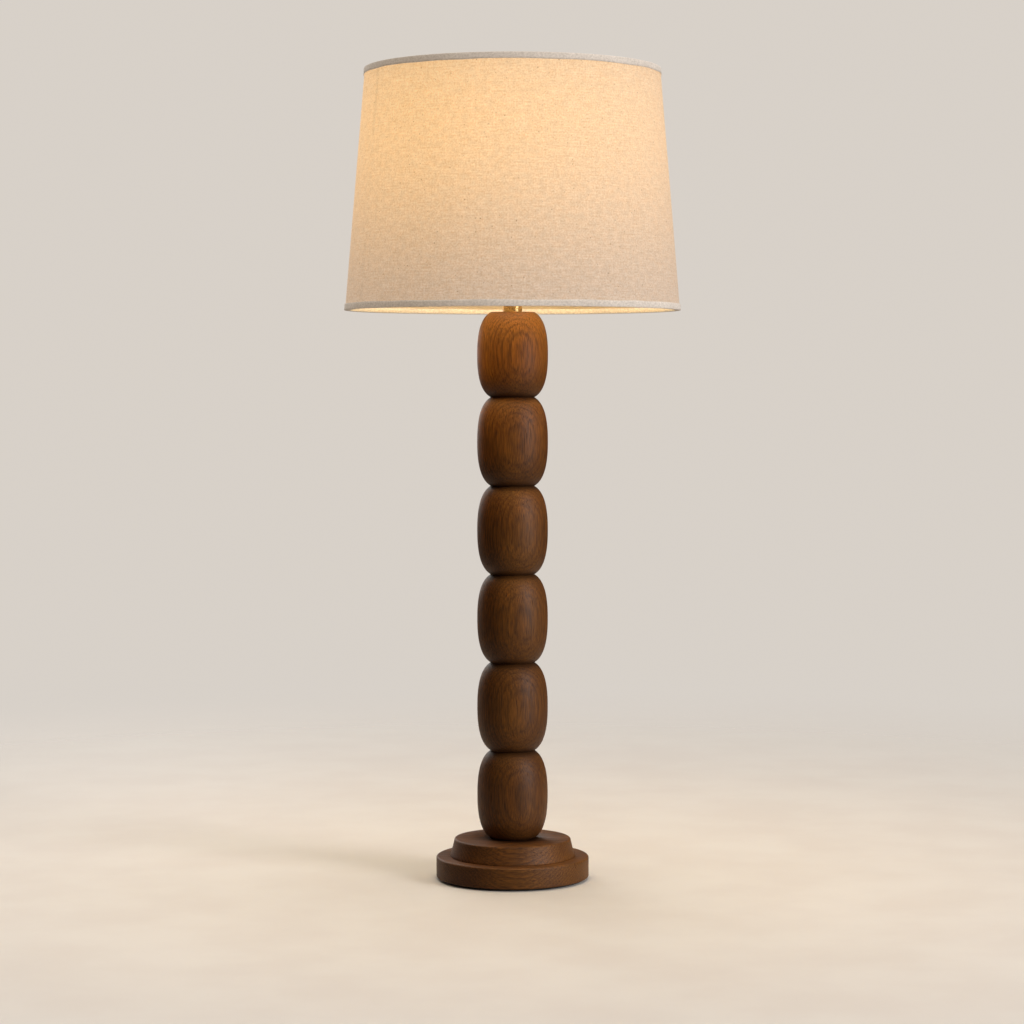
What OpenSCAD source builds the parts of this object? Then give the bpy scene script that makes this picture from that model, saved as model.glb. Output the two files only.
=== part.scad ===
// Table lamp: six turned wooden beads on a two-step round base, under a tapered linen drum shade.
// Frame: millimetres, +Z up, origin at the centre of the felt's underside.
// The harp stands in the XZ plane, the switch points to -Y and the cord would leave the base at +Y.

/* [Shade] */
// Height of the whole lamp, up to the rim of the shade
lamp_h = 760; // [700:1:820]
// Diameter over the shade's top rim
shade_top_d = 277; // [240:1:300]
// Diameter over the shade's bottom rim
shade_bottom_d = 315; // [300:1:360]
// Height of the shade
shade_h = 224.5; // [200:0.5:240]
// Height of the grey tape that binds each rim
trim_h = 6; // [4:0.5:12]
// Number of arms from the hub to the top ring
spider_arms = 3; // [3:1:4]
// How far the hub's underside sits below the top rim
shade_recess = 15.5; // [12:0.5:20]

/* [Base] */
// Diameter of the wide lower disc
plinth_d = 144; // [130:1:180]
// Thickness of the wide lower disc
plinth_h = 19.6; // [15:0.1:30]
// Diameter of the upper disc where it meets the lower one
step_bottom_d = 118; // [100:1:130]
// Diameter of the upper disc's top
step_top_d = 110; // [90:1:120]
// Thickness of the upper disc
step_h = 16.8; // [10:0.1:25]
// Diameter of the felt under the base
felt_d = 136; // [120:1:170]
// Thickness of the felt
felt_t = 2; // [1:0.5:4]

/* [Column] */
// Largest diameter of a bead
bead_d = 66.5; // [55:0.5:80]
// Diameter of the flat on which one bead sits on the next
bead_end_d = 41; // [30:0.5:55]
// Number of beads
bead_count = 6; // [3:1:8]
// Height of every bead but the top one
bead_h = 83.2; // [60:0.1:100]
// Height of the top bead
top_bead_h = 79.6; // [60:0.1:100]
// How square a bead's side is, where 2 is a circle
bead_side_power = 4; // [2:0.1:6]
// How square a bead's shoulder is, where 2 is a circle
bead_shoulder_power = 2.4; // [2:0.1:4]
// Diameter of the brass neck above the column
neck_d = 18; // [12:0.5:26]
// Height of the brass neck
neck_h = 16; // [8:1:30]

/* [Fittings] */
// Outside diameter of the threaded tube that holds the column together
pipe_d = 10.2; // [9:0.1:12]
// Bore of the threaded tube
pipe_bore_d = 6.8; // [5:0.1:8]
// Diameter of the bulb's globe
bulb_d = 60; // [50:1:65]
// Length of the bulb, from the contact to the crown
bulb_l = 107.8; // [95:0.1:115]
// Diameter over the thread of the bulb's cap
bulb_cap_d = 26.4; // [26:0.1:27]
// Diameter of the socket's brass shell
socket_d = 32; // [30:0.5:36]
// Diameter of the harp's wire
harp_wire_d = 3.2; // [2.5:0.1:4]
// Distance between the harp's two legs at the saddle
harp_leg_gap = 54; // [48:1:60]
// Angle at which the harp's legs spread
harp_spread = 15; // [10:1:25]
// Bore of the rubber bush for the cord
cord_bore_d = 6; // [5:0.5:8]

/* [Hidden] */
$fn = 96;
round_steps = 6;
bead_steps = 24;

// Gaps: between bodies that move apart, round a sliding pin, and between pieces that only sit together
body_gap = 0.3;
pin_gap = 0.08;
seat_gap = 0.05;

// The hole that passes round the pipe, and the one that sits on it
pipe_hole_r = pipe_d / 2 + body_gap;
pipe_seat_r = pipe_d / 2 + seat_gap;

// Heights, from the floor up. Those of the socket's parts are set from the underside of its cap
plinth_z = felt_t;
step_z = plinth_z + plinth_h;
column_z = step_z + step_h;
top_bead_z = column_z + (bead_count - 1) * bead_h;
neck_z = top_bead_z + top_bead_h;
saddle_z = neck_z + neck_h;
saddle_t = 1.2;
cap_z = saddle_z + saddle_t;
cap_h = 21;
set_screw_z = cap_z + 2.5;
shell_z = cap_z + 15.5;
shell_h = 45.5;
shell_top_z = shell_z + shell_h;
switch_z = cap_z + 28;
contact_z = cap_z + 35;
contact_h = 1;
terminal_z = cap_z + 20.8;
bulb_z = contact_z + contact_h + body_gap;
bulb_top_z = bulb_z + bulb_l;
shade_z = lamp_h - shade_h;
hub_z = lamp_h - shade_recess;
hub_h = 4.4;
finial_z = hub_z + hub_h + body_gap;

// Base
recess_d = 112;
recess_h = 15;
recess_z = plinth_z + recess_h;
weight_d = 108;
weight_h = 9;
washer_d = 25.4;
washer_t = 1.2;
nut_flats = 14.3;
nut_h = 4.8;
nut_pocket_d = 30;
nut_pocket_h = 5.5;
washer_z = recess_z - weight_h + nut_pocket_h - washer_t;
pipe_z = washer_z - nut_h - 0.5;
pipe_top_z = cap_z + 6;
cord_z = plinth_z + 7;
grommet_d = 8;
grommet_flange_d = 12;
grommet_flange_t = 1.5;
grommet_in = recess_d / 2;
grommet_seat = plinth_d / 2 - 0.6;

// Socket and switch
screw_r = 1.5;
shell_wall = 0.8;
insulator_wall = 0.6;
interior_waist_r = 12;
terminal_in = interior_waist_r - 6;
shaft_r = 1.6;
shaft_hole_r = 2.4;
shaft_in = 3.5;
shaft_out = socket_d / 2 + 12;

// Harp
wire_r = harp_wire_d / 2;
leg_x = harp_leg_gap / 2;
post_r = 2.3;
post_top_z = cap_z + 14.4;
post_bore_h = 8.7;
sleeve_r = 3.4;
sleeve_h = 12;
sleeve_z = cap_z + 1;
leg_z = post_top_z - post_bore_h + body_gap;
leg_top_z = sleeve_z + sleeve_h + 10;
bend_r = 14;
weld_bulge = 0.1;
plate_w = 11;
plate_t = 2.8;
plate_x = 13;
plate_z = hub_z - 3.5;
arch_x = 8;
stud_r = 3.1;
stud_pin_r = 2.6;
stud_flange_r = 6.2;
stud_head_r = 4.2;
stud_top_z = finial_z + 5.8;
// The straight leg starts where the lower bend ends. The arch is the circle tangent to it and level on top
straight_x = leg_x + bend_r * (1 - cos(harp_spread));
straight_z = leg_top_z + bend_r * sin(harp_spread);
arch_r = ((plate_z - straight_z) * sin(harp_spread) - (arch_x - straight_x) * cos(harp_spread))
    / (1 + sin(harp_spread));
arch_z = plate_z - arch_r;
straight_l = (arch_z - arch_r * sin(harp_spread) - straight_z) / cos(harp_spread);

// Shade layers, each as a distance in from the outer line
tape_t = 0.5;
linen_in = tape_t;
liner_in = linen_in + 0.8;
liner_back = liner_in + 1;
ring_wire_r = 1.5;
ring_in = liner_back + ring_wire_r + seat_gap;
tape_in = ring_in + ring_wire_r + seat_gap;
tape_inner_h = 5;
layer_end = 0.6;
ring_end = tape_t + ring_wire_r + seat_gap;
hub_r = 12;
arm_r = 1.25;
arm_start = 6;
arm_start_z = hub_z + 2;
top_ring_z = lamp_h - ring_end;
top_ring_r = shade_r(top_ring_z) - ring_in;
arm_slope = atan2(top_ring_z - arm_start_z, top_ring_r - arm_start);
arm_l = (top_ring_r - arm_start) / cos(arm_slope);

// Bulb
glass_t = 1;
globe_steps = 18;
bulb_r = bulb_d / 2;
bulb_contact_h = 1.4;
globe_z = bulb_top_z - bulb_r;
cap_ring_z = bulb_z + 3.2;
cap_ring_h = 22.3;
cap_ring_pitch = 3.6;
cap_ring_depth = 0.9;
neck_r = bulb_cap_d / 2 - 1.8;
glass_z = cap_ring_z + cap_ring_h - 4;
cone_tilt = 24;

walnut = "#6b4527";
brass = "#c39a4b";
zinc = "#b9bbbd";
tape_grey = "#96908a";

// Points along a circular arc about (x, y), from angle a to angle b
function arc(x, y, r, a, b) =
    [for (i = [0:round_steps]) let (t = a + (b - a) * i / round_steps) [x + r * cos(t), y + r * sin(t)]];

// The shade's outer radius at a height, and a point a distance in from it
function shade_r(z) = (shade_bottom_d - (shade_bottom_d - shade_top_d) * (z - shade_z) / shade_h) / 2;
function shade_point(z, inset) = [shade_r(z) - inset, z];

// A bead's outline is a superellipse that is cut off where its radius falls to that of the end flats
function bead_reach() = pow(1 - pow(bead_end_d / bead_d, bead_side_power), -1 / bead_shoulder_power);
function bead_radius(u) =
    bead_d / 2 * pow(1 - pow(abs(u) / bead_reach(), bead_shoulder_power), 1 / bead_side_power);

// A tube that stands on z
module tube(outer_r, inner_r, z, h) {
    translate([0, 0, z])
        difference() {
            cylinder(r = outer_r, h = h);
            translate([0, 0, -1])
                cylinder(r = inner_r, h = h + 2);
        }
}

// A cylinder from the lamp's axis outward, in the direction of an angle about Z
module spoke(r, from, to, z, angle) {
    rotate([0, 0, angle])
        translate([from, 0, z])
            rotate([0, 90, 0])
                cylinder(r = r, h = to - from);
}

module felt_pad() {
    color("#3a3a38")
        cylinder(d = felt_d, h = felt_t);
}

module base_plinth() {
    bottom_round = 1.2;
    top_round = 1.6;
    r = plinth_d / 2;
    color(walnut)
        difference() {
            rotate_extrude()
                polygon(concat(
                    [[0, plinth_z]],
                    arc(r - bottom_round, plinth_z + bottom_round, bottom_round, -90, 0),
                    arc(r - top_round, step_z - top_round, top_round, 0, 90),
                    [[0, step_z]]
                ));
            translate([0, 0, plinth_z - 1])
                cylinder(d = recess_d, h = recess_h + 1);
            cylinder(r = pipe_hole_r, h = column_z);
            spoke(grommet_d / 2 + seat_gap, recess_d / 2 - 5, r + 1, cord_z, 90);
            spoke(grommet_flange_d / 2 + body_gap, grommet_seat, r + 1, cord_z, 90);
        }
}

module base_step() {
    edge_round = 1.3;
    color(walnut)
        difference() {
            rotate_extrude()
                polygon(concat(
                    [[0, step_z], [step_bottom_d / 2, step_z], [step_bottom_d / 2, step_z + 1]],
                    arc(step_top_d / 2 - edge_round, column_z - edge_round, edge_round, 0, 90),
                    [[0, column_z]]
                ));
            translate([0, 0, step_z - 1])
                cylinder(r = pipe_hole_r, h = step_h + 2);
        }
}

module base_weight() {
    notch_w = 10;
    color("#4c4c4e")
        difference() {
            translate([0, 0, recess_z - weight_h])
                cylinder(d = weight_d, h = weight_h);
            cylinder(r = pipe_hole_r, h = column_z);
            translate([0, 0, recess_z - weight_h - 1])
                cylinder(d = nut_pocket_d, h = nut_pocket_h + 1);
            translate([-notch_w / 2, weight_d / 2 - 8, 0])
                cube([notch_w, weight_d, column_z]);
        }
}

module bottom_washer() {
    color(zinc)
        tube(washer_d / 2, pipe_seat_r, washer_z, washer_t);
}

module bottom_nut() {
    color(brass)
        translate([0, 0, washer_z - nut_h])
            difference() {
                cylinder(d = nut_flats / cos(30), h = nut_h, $fn = 6);
                translate([0, 0, -1])
                    cylinder(r = pipe_seat_r, h = nut_h + 2);
            }
}

module lamp_pipe() {
    color(zinc)
        tube(pipe_d / 2, pipe_bore_d / 2, pipe_z, pipe_top_z - pipe_z);
}

module cord_grommet() {
    color("#2b2b2b")
        difference() {
            union() {
                spoke(grommet_d / 2, grommet_in, grommet_seat, cord_z, 90);
                spoke(grommet_flange_d / 2, grommet_seat, grommet_seat + grommet_flange_t, cord_z, 90);
            }
            spoke(cord_bore_d / 2, grommet_in - 1, plinth_d, cord_z, 90);
        }
}

module bead(z, h) {
    color(walnut)
        difference() {
            translate([0, 0, z + h / 2])
                rotate_extrude()
                    polygon(concat(
                        [[0, -h / 2]],
                        [for (i = [0:bead_steps])
                            let (u = -cos(180 * i / bead_steps)) [bead_radius(u), u * h / 2]],
                        [[0, h / 2]]
                    ));
            translate([0, 0, z - 1])
                cylinder(r = pipe_hole_r, h = h + 2);
        }
}

module plain_bead(number) {
    bead(column_z + (number - 1) * bead_h, bead_h);
}

module bead_1() {
    plain_bead(1);
}

module bead_2() {
    plain_bead(2);
}

module bead_3() {
    plain_bead(3);
}

module bead_4() {
    plain_bead(4);
}

module bead_5() {
    plain_bead(5);
}

module bead_6() {
    bead(top_bead_z, top_bead_h);
}

module neck() {
    color(brass)
        tube(neck_d / 2, pipe_seat_r, neck_z, neck_h);
}

module harp_saddle() {
    strip_w = 13;
    color(brass)
        difference() {
            union() {
                translate([-leg_x, -strip_w / 2, saddle_z])
                    cube([2 * leg_x, strip_w, saddle_t]);
                for (side = [-1, 1])
                    translate([side * leg_x, 0, saddle_z]) {
                        cylinder(d = strip_w, h = saddle_t);
                        cylinder(r = post_r, h = post_top_z - saddle_z);
                    }
            }
            cylinder(r = pipe_seat_r, h = lamp_h);
            for (side = [-1, 1])
                translate([side * leg_x, 0, post_top_z - post_bore_h])
                    cylinder(r = wire_r + pin_gap, h = post_bore_h + 1);
        }
}

module socket_cap() {
    hub_outer = 7.5;
    floor_z = cap_z + 6.5;
    rim_r = socket_d / 2 + 1.2;
    wall = 1;
    shoulder_z = cap_z + 14;
    top_z = cap_z + cap_h;
    color(brass)
        difference() {
            rotate_extrude()
                polygon([
                    [pipe_seat_r, cap_z],
                    [hub_outer, cap_z],
                    [hub_outer, floor_z - 1.5 * wall],
                    [rim_r - 2, shoulder_z - 3],
                    [rim_r, shoulder_z],
                    [rim_r, top_z],
                    [rim_r - wall, top_z],
                    [rim_r - wall, shoulder_z],
                    [rim_r - wall - 2, shoulder_z - 2],
                    [hub_outer, floor_z],
                    [pipe_seat_r, floor_z]
                ]);
            spoke(screw_r + seat_gap, 0, hub_outer + 1, set_screw_z, 90);
        }
}

module cap_set_screw() {
    head_r = 2.2;
    head_h = 1.6;
    head_y = 8.4;
    slot_w = 0.6;
    slot_depth = head_h / 2;
    color(zinc)
        difference() {
            union() {
                spoke(screw_r, pipe_seat_r, head_y, set_screw_z, 90);
                spoke(head_r, head_y, head_y + head_h, set_screw_z, 90);
            }
            translate([-slot_w / 2, head_y + head_h - slot_depth, set_screw_z - 2 * head_r])
                cube([slot_w, 2 * slot_depth, 4 * head_r]);
        }
}

module socket_shell() {
    r = socket_d / 2;
    inner_r = r - shell_wall;
    swell = 0.6;
    chamfer = 0.5;
    lower_swell_z = cap_z + cap_h + 2;
    upper_swell_z = shell_top_z - 6;
    color(brass)
        difference() {
            rotate_extrude()
                polygon(concat(
                    [[inner_r, shell_z], [r, shell_z]],
                    arc(r, lower_swell_z, swell, -90, 90),
                    arc(r, upper_swell_z, swell, -90, 90),
                    [[r, shell_top_z - chamfer], [r - chamfer, shell_top_z], [inner_r, shell_top_z]]
                ));
            spoke(shaft_hole_r, 0, socket_d, switch_z, -90);
        }
}

module socket_insulator() {
    r = socket_d / 2 - shell_wall - seat_gap;
    color("#3b3a36")
        difference() {
            tube(r, r - insulator_wall, shell_z + 1, shell_h - 2);
            spoke(shaft_hole_r, 0, socket_d, switch_z, -90);
        }
}

module socket_interior() {
    body_r = socket_d / 2 - 2;
    base_z = terminal_z - 3.3;
    waist_top_z = terminal_z + 3.2;
    color("#1d1c1b")
        difference() {
            union() {
                translate([0, 0, base_z])
                    cylinder(r = interior_waist_r, h = waist_top_z - base_z);
                translate([0, 0, waist_top_z])
                    cylinder(r = body_r, h = contact_z - waist_top_z);
            }
            spoke(shaft_r + pin_gap, -shaft_in - 1.5, socket_d, switch_z, -90);
            for (angle = [0, 180])
                spoke(screw_r + seat_gap, terminal_in, socket_d, terminal_z, angle);
        }
}

module terminal_screws() {
    head_r = 2.8;
    head_start = interior_waist_r + seat_gap;
    head_end = interior_waist_r + 1.8;
    color(brass)
        for (angle = [0, 180]) {
            spoke(screw_r, terminal_in + seat_gap, head_start, terminal_z, angle);
            spoke(head_r, head_start, head_end, terminal_z, angle);
        }
}

module screw_shell() {
    outer_r = socket_d / 2 - 1.55;
    wall = 0.35;
    color("#c9cbce")
        tube(outer_r, outer_r - wall, contact_z, shell_top_z - contact_z - 2);
}

module centre_contact() {
    contact_r = 3.5;
    color(brass)
        translate([0, 0, contact_z])
            cylinder(r = contact_r, h = contact_h);
}

module switch_shaft() {
    color(zinc)
        spoke(shaft_r, -shaft_in, shaft_out, switch_z, -90);
}

module switch_knob() {
    knob_r = 5.8;
    knob_l = 14;
    start = socket_d / 2 + 2;
    end = start + knob_l;
    nose = 1;
    grooves = 12;
    groove_r = 1;
    groove_in = 3;
    color("#23201d")
        difference() {
            union() {
                spoke(knob_r, start, end - nose, switch_z, -90);
                spoke(knob_r - nose, end - nose, end, switch_z, -90);
            }
            spoke(shaft_r + seat_gap / 2, start - 1, shaft_out + seat_gap, switch_z, -90);
            for (i = [0:grooves - 1])
                translate([0, 0, switch_z])
                    rotate([0, 360 * i / grooves, 0])
                        translate([knob_r + groove_r / 2, -start - groove_in, 0])
                            rotate([90, 0, 0])
                                cylinder(r = groove_r, h = knob_l);
        }
}

module bulb_contact() {
    tip_r = 3.6;
    rim_r = 4.8;
    color(brass)
        translate([0, 0, bulb_z])
            cylinder(r1 = tip_r, r2 = rim_r, h = bulb_contact_h);
}

module bulb_insulator() {
    tip_r = 5.4;
    start_z = bulb_z + bulb_contact_h;
    color("#1a1a1c")
        translate([0, 0, start_z])
            cylinder(r1 = tip_r, r2 = bulb_cap_d / 2 - 2.4, h = cap_ring_z - start_z);
}

module bulb_cap() {
    crest_r = bulb_cap_d / 2;
    rings = 5;
    ring_steps = 8;
    thread_top = cap_ring_z + rings * cap_ring_pitch;
    rim_z = cap_ring_z + cap_ring_h;
    skirt_r = crest_r - 0.4;
    foot_r = neck_r - 1;
    bore_r = neck_r + 0.3 + seat_gap;
    ledge_z = glass_z - 0.4;
    color("#c9cbce")
        rotate_extrude()
            polygon(concat(
                [[foot_r, cap_ring_z]],
                [for (i = [0:rings * ring_steps])
                    [crest_r - cap_ring_depth * (1 + cos(360 * i / ring_steps)) / 2,
                        cap_ring_z + cap_ring_pitch * i / ring_steps]],
                [[skirt_r, thread_top + 0.5], [skirt_r, rim_z]],
                [[bore_r, rim_z], [bore_r, ledge_z], [foot_r, ledge_z]]
            ));
}

module bulb_glass() {
    // The globe runs into a straight cone, which runs into the neck held by the cap
    tangent_r = bulb_r * cos(cone_tilt);
    tangent_z = globe_z - bulb_r * sin(cone_tilt);
    neck_top_z = tangent_z - (tangent_r - neck_r) / tan(cone_tilt);
    inner_r = bulb_r - glass_t;
    color("#f6f1e6")
        rotate_extrude()
            polygon(concat(
                [[neck_r, glass_z], [neck_r, neck_top_z]],
                [for (i = [0:globe_steps])
                    let (t = -cone_tilt + (90 + cone_tilt) * i / globe_steps)
                    [bulb_r * cos(t), globe_z + bulb_r * sin(t)]],
                [for (i = [globe_steps:-1:0])
                    let (t = -cone_tilt + (90 + cone_tilt) * i / globe_steps)
                    [inner_r * cos(t), globe_z + inner_r * sin(t)]],
                [[neck_r - glass_t, neck_top_z], [neck_r - glass_t, glass_z]]
            ));
}

module bulb_stem() {
    foot_r = neck_r - glass_t - seat_gap;
    foot_h = 12;
    rod_r = 3;
    rod_h = 16;
    stem_top = glass_z + foot_h + rod_h;
    lead_r = 0.4;
    lead_l = 16;
    lead_lean = 30;
    filament_r = 0.5;
    filament_l = 18;
    color("#e9e4d6") {
        translate([0, 0, glass_z])
            cylinder(r1 = foot_r, r2 = rod_r, h = foot_h);
        translate([0, 0, glass_z + foot_h])
            cylinder(r = rod_r, h = rod_h);
        for (side = [-1, 1])
            translate([side * rod_r / 2, 0, stem_top - 1])
                rotate([0, side * lead_lean, 0])
                    cylinder(r = lead_r, h = lead_l);
        translate([0, 0, stem_top - 1 + lead_l * cos(lead_lean) - lead_r])
            rotate([0, 90, 0])
                cylinder(r = filament_r, h = filament_l, center = true);
    }
}

module sleeve(side) {
    color(brass)
        translate([side * leg_x, 0, 0])
            tube(sleeve_r, post_r + pin_gap, sleeve_z, sleeve_h);
}

module sleeve_left() {
    sleeve(-1);
}

module sleeve_right() {
    sleeve(1);
}

// The slight swelling where two lengths of the harp's wire are welded end to end
module weld(x, z) {
    translate([x, 0, z])
        sphere(r = wire_r + weld_bulge);
}

// One side of the harp, in the XZ plane: leg, lower bend, straight and arch
module harp_side() {
    translate([leg_x, 0, leg_z])
        cylinder(r = wire_r, h = leg_top_z - leg_z);
    weld(leg_x, leg_top_z);
    translate([leg_x + bend_r, 0, leg_top_z])
        rotate([90, 0, 0])
            rotate([0, 0, 180 - harp_spread])
                rotate_extrude(angle = harp_spread)
                    translate([bend_r, 0])
                        circle(r = wire_r);
    weld(straight_x, straight_z);
    translate([straight_x, 0, straight_z])
        rotate([0, harp_spread, 0])
            cylinder(r = wire_r, h = straight_l);
    weld(arch_x + arch_r * cos(harp_spread), arch_z - arch_r * sin(harp_spread));
    translate([arch_x, 0, arch_z])
        rotate([90, 0, 0])
            rotate([0, 0, -harp_spread])
                rotate_extrude(angle = 90 + harp_spread)
                    translate([arch_r, 0])
                        circle(r = wire_r);
}

module harp() {
    color(brass)
        difference() {
            union() {
                harp_side();
                mirror([1, 0, 0])
                    harp_side();
                translate([-plate_x, -plate_w / 2, plate_z - plate_t / 2])
                    cube([2 * plate_x, plate_w, plate_t]);
            }
            translate([0, 0, plate_z - plate_t])
                cylinder(r = stud_pin_r + pin_gap, h = 2 * plate_t);
        }
}

module harp_stud() {
    head_h = 1.7;
    chamfer = 0.5;
    head_z = plate_z - plate_t / 2 - body_gap;
    flange_z = plate_z + plate_t / 2 + body_gap;
    color(brass)
        rotate_extrude()
            polygon([
                [0, head_z - head_h],
                [stud_head_r, head_z - head_h],
                [stud_head_r, head_z],
                [stud_pin_r, head_z],
                [stud_pin_r, flange_z],
                [stud_flange_r, flange_z],
                [stud_flange_r, hub_z - body_gap],
                [stud_r, hub_z - body_gap],
                [stud_r, stud_top_z - chamfer],
                [stud_r - chamfer, stud_top_z],
                [0, stud_top_z]
            ]);
}

module finial() {
    flange_r = 7;
    flange_top_z = finial_z + 1.2;
    waist_r = 4.9;
    waist_z = finial_z + 2.2;
    waist_h = 0.8;
    dome_r = 5.6;
    dome_round = 3;
    top_z = lamp_h - 2;
    color(brass)
        difference() {
            rotate_extrude()
                polygon(concat(
                    [[0, finial_z], [flange_r, finial_z], [flange_r, flange_top_z]],
                    [[waist_r, waist_z], [waist_r, waist_z + waist_h]],
                    arc(dome_r - dome_round, top_z - dome_round, dome_round, 0, 90),
                    [[0, top_z]]
                ));
            translate([0, 0, finial_z - 1])
                cylinder(r = stud_r + pin_gap, h = stud_top_z - finial_z + 1 + body_gap);
        }
}

// A spider arm, or a wider clearance for one, from its start inside the hub outward
module spider_arm(angle, r, extra) {
    rotate([0, 0, angle])
        translate([arm_start, 0, arm_start_z])
            rotate([0, 90 - arm_slope, 0])
                translate([0, 0, -extra])
                    cylinder(r = r, h = arm_l + extra);
}

function arm_angle(i) = 90 + 360 * i / spider_arms;

module spider_hub() {
    color("#e4e2dc")
        difference() {
            tube(hub_r, stud_r + pin_gap, hub_z, hub_h);
            for (i = [0:spider_arms - 1])
                spider_arm(arm_angle(i), arm_r + seat_gap, seat_gap);
        }
}

module ring(r, z) {
    translate([0, 0, z])
        rotate_extrude()
            translate([r, 0])
                circle(r = ring_wire_r);
}

module spider_frame() {
    color("#e4e2dc") {
        ring(top_ring_r, top_ring_z);
        for (i = [0:spider_arms - 1])
            spider_arm(arm_angle(i), arm_r, 0);
    }
}

module shade_bottom_ring() {
    z = shade_z + ring_end;
    color("#e4e2dc")
        ring(shade_r(z) - ring_in, z);
}

// A layer of the shade's wall, between two distances in from the outer line
module shade_layer(from, to) {
    rotate_extrude()
        polygon([
            shade_point(shade_z + layer_end, from),
            shade_point(lamp_h - layer_end, from),
            shade_point(lamp_h - layer_end, to),
            shade_point(shade_z + layer_end, to)
        ]);
}

module shade_liner() {
    color("#f3efe6")
        shade_layer(liner_in, liner_back);
}

module shade_linen() {
    color("#e2cfae")
        shade_layer(linen_in, liner_in);
}

// Tape folded over a rim: down the outside, across the edge and down the inside. side is 1 at the top
module rim_tape(rim_z, side) {
    rotate_extrude()
        polygon([
            shade_point(rim_z - side * trim_h, 0),
            shade_point(rim_z, 0),
            shade_point(rim_z, tape_in + tape_t),
            shade_point(rim_z - side * tape_inner_h, tape_in + tape_t),
            shade_point(rim_z - side * tape_inner_h, tape_in),
            shade_point(rim_z - side * tape_t, tape_in),
            shade_point(rim_z - side * tape_t, tape_t),
            shade_point(rim_z - side * trim_h, tape_t)
        ]);
}

module shade_top_trim() {
    color(tape_grey)
        difference() {
            rim_tape(lamp_h, 1);
            for (i = [0:spider_arms - 1])
                spider_arm(arm_angle(i), arm_r + body_gap, 0);
        }
}

module shade_bottom_trim() {
    color(tape_grey)
        rim_tape(shade_z, -1);
}

felt_pad();
base_plinth();
base_step();
base_weight();
bottom_washer();
bottom_nut();
lamp_pipe();
cord_grommet();
bead_1();
bead_2();
bead_3();
bead_4();
bead_5();
bead_6();
neck();
harp_saddle();
socket_cap();
cap_set_screw();
socket_shell();
socket_insulator();
socket_interior();
terminal_screws();
screw_shell();
centre_contact();
switch_shaft();
switch_knob();
bulb_contact();
bulb_insulator();
bulb_cap();
bulb_glass();
bulb_stem();
sleeve_left();
sleeve_right();
harp();
harp_stud();
finial();
spider_hub();
spider_frame();
shade_bottom_ring();
shade_liner();
shade_linen();
shade_top_trim();
shade_bottom_trim();
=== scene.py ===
"""A table lamp of turned walnut beads under a lit linen drum shade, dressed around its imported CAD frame.

Lengths are in metres. The origin is under the middle of the base, +Z is up and -Y is the front.
"""

import math

import bmesh
import bpy
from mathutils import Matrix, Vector, noise


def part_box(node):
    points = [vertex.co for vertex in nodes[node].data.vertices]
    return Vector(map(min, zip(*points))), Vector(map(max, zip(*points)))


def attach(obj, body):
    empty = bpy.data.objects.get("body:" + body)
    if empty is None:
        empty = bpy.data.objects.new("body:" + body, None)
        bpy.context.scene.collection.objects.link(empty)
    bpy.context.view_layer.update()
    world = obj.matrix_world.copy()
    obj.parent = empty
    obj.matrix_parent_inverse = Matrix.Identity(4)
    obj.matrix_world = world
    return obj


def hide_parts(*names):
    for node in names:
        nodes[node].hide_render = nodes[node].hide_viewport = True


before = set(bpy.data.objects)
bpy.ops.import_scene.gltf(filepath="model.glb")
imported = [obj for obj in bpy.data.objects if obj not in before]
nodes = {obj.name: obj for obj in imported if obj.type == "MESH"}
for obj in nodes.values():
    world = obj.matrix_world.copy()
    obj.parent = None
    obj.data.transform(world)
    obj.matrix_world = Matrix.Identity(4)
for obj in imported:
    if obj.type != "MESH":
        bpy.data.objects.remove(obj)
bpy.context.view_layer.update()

MM = 0.001

# ---------------------------------------------------------------- light

# Emission strengths. SHADE_GLOW and TAPE_GLOW are a painted glow that stands in for the bulb's light through
# the linen and the tape; BULB_GLOW is the bulb's own.
SHADE_GLOW = 5.9
TAPE_GLOW = 0.34
BULB_GLOW = 1.5
BULB_WATTS = 1.1
BULB_COLOUR = (1.0, 0.69, 0.33)
SPILL_WATTS = 0.52
SPILL_COLOUR = (1.0, 0.72, 0.2)

# ---------------------------------------------------------------- driving sizes, most of them from the frame


def radius_of(node):
    """Half a node's width along X."""
    low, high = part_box(node)
    return (high.x - low.x) / 2


def height_of(node):
    """A node's lowest and highest Z."""
    low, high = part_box(node)
    return low.z, high.z


BEADS = [f"bead_{number}" for number in range(1, 7)]
column_bottom, column_top = height_of("bead_1")[0], height_of("bead_6")[1]
bead_pitch = height_of("bead_1")[1] - column_bottom
bead_radius = radius_of("bead_1")
bead_end_radius = 20.5 * MM
pipe_hole_radius = 5.4 * MM
recess_radius, recess_depth = 56 * MM, 15 * MM
step_top_radius = 55 * MM

shade_bottom, shade_top = height_of("shade_bottom_trim")[0], height_of("shade_top_trim")[1]
shade_bottom_radius = radius_of("shade_bottom_trim")
tape_height = height_of("shade_bottom_trim")[1] - shade_bottom
tape_thickness = 0.5 * MM
liner_inset, liner_thickness = 1.3 * MM, 1.0 * MM
shade_slope = 0.0846  # how much the shade narrows for each unit of height
shade_top_radius = radius_of("shade_top_trim") - tape_height * shade_slope
shade_mean_radius = (shade_bottom_radius + shade_top_radius) / 2
seam_angle = math.radians(-62)
seam_around = seam_angle * shade_mean_radius
globe_low, globe_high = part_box("bulb_glass")
globe_radius = (globe_high.x - globe_low.x) / 2
globe_centre = Vector((0, 0, globe_high.z - globe_radius))

# The centre of the painted hot spot of light on the linen: a little above the bulb, and left of the front
hot_height = globe_centre.z + 0.05
hot_angle = math.radians(-25)
hot_direction = Vector((math.sin(hot_angle), -math.cos(hot_angle), 0)) / shade_mean_radius


def shade_radius(z):
    """Radius of the shade's outer line at a height."""
    share = (z - shade_bottom) / (shade_top - shade_bottom)
    return shade_bottom_radius + (shade_top_radius - shade_bottom_radius) * share


# ---------------------------------------------------------------- node graphs


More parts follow.
